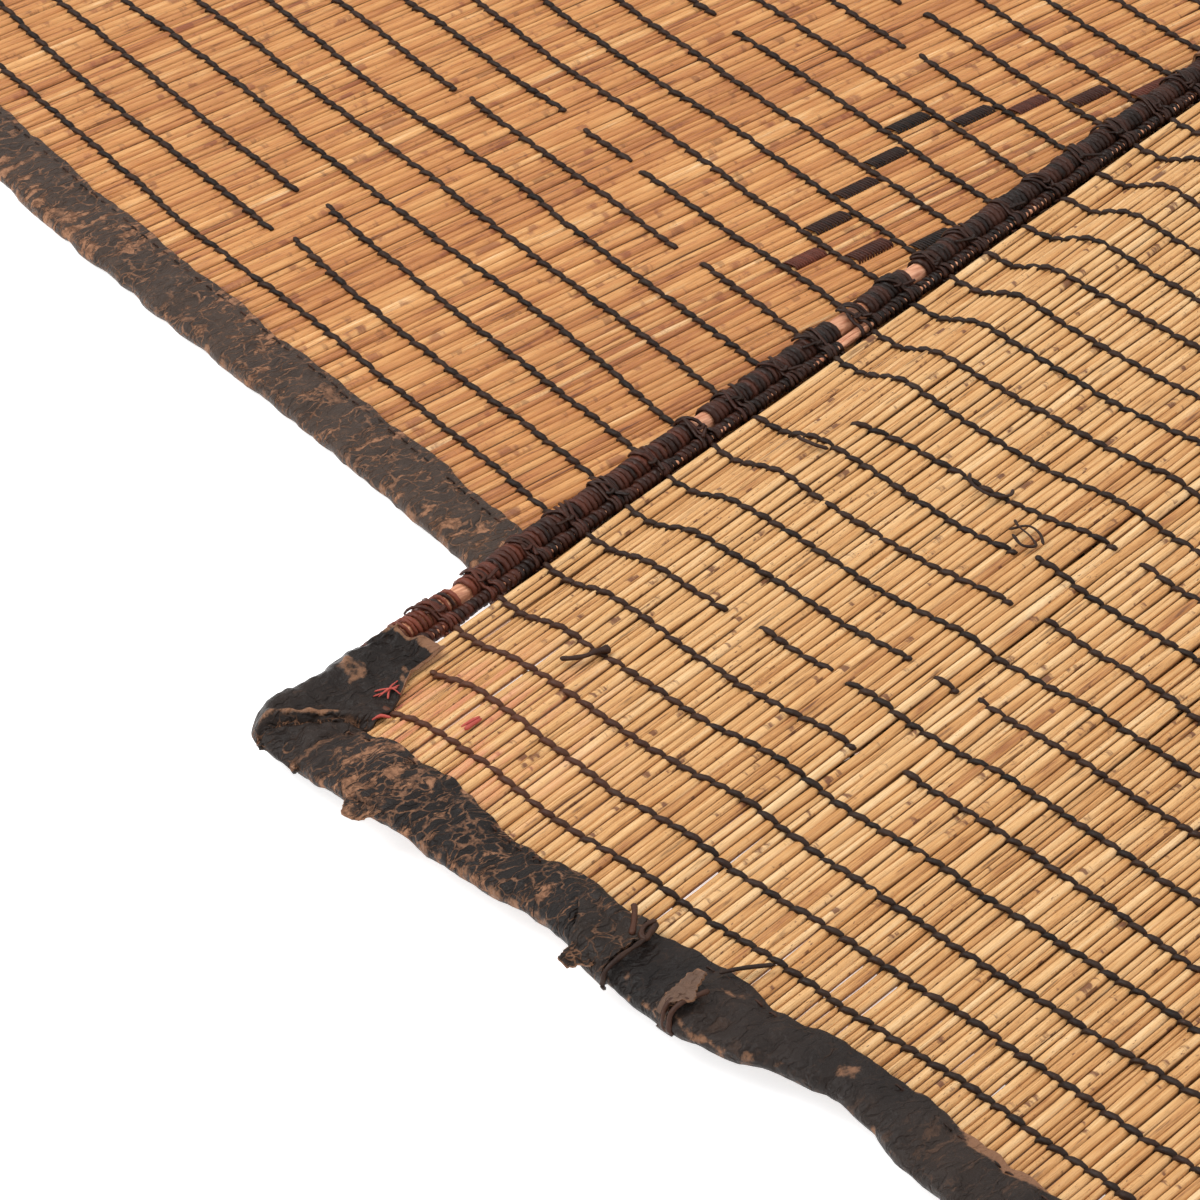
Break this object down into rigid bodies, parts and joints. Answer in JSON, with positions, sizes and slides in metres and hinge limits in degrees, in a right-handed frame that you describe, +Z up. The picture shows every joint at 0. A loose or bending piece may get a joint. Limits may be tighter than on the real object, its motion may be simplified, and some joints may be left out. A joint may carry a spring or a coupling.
{
  "type": "tuareg mat",
  "caption": "Flat mat of thin reeds laced with twined leather, bound in leather along its long sides, with thong-wrapped rods and capped corners at its ends, lying folded back over itself.",
  "frame": {"origin": "centre of the bounding box, on the surface that the mat lies on", "axes": "X runs nearly along the reeds, across the mat; Y runs along the mat, from the fold towards the far end; Z points up"},
  "size_m": [0.7849, 1.0845, 0.0355],
  "materials": {
    "reed_straw": "satin",
    "binding_leather": "worn",
    "cap_leather": "worn",
    "wound_leather": "worn",
    "rod_wood": "matte",
    "patch_leather": "worn",
    "tie_leather": "matte"
  },
  "bodies": {
    "root": {"reed_field": "reed_straw", "binding_near": "binding_leather", "binding_far": "binding_leather", "flap_rod": "rod_wood", "flap_rod_wrap_1": "wound_leather", "flap_rod_wrap_2": "wound_leather", "flap_rod_wrap_3": "wound_leather", "flap_rod_wrap_4": "wound_leather", "flap_rod_wrap_5": "wound_leather", "flap_bundle": "rod_wood", "flap_bundle_wrap_1": "wound_leather", "flap_bundle_wrap_2": "wound_leather", "flap_cap_near": "cap_leather", "flap_cap_far": "cap_leather", "far_rod": "rod_wood", "far_rod_wrap_1": "wound_leather", "far_bundle": "rod_wood", "far_bundle_wrap_1": "wound_leather", "far_cap_near": "cap_leather", "far_cap_far": "cap_leather", "binding_patch": "patch_leather", "binding_tie": "tie_leather", "tie_tail": "tie_leather"}
  },
  "joints": []
}
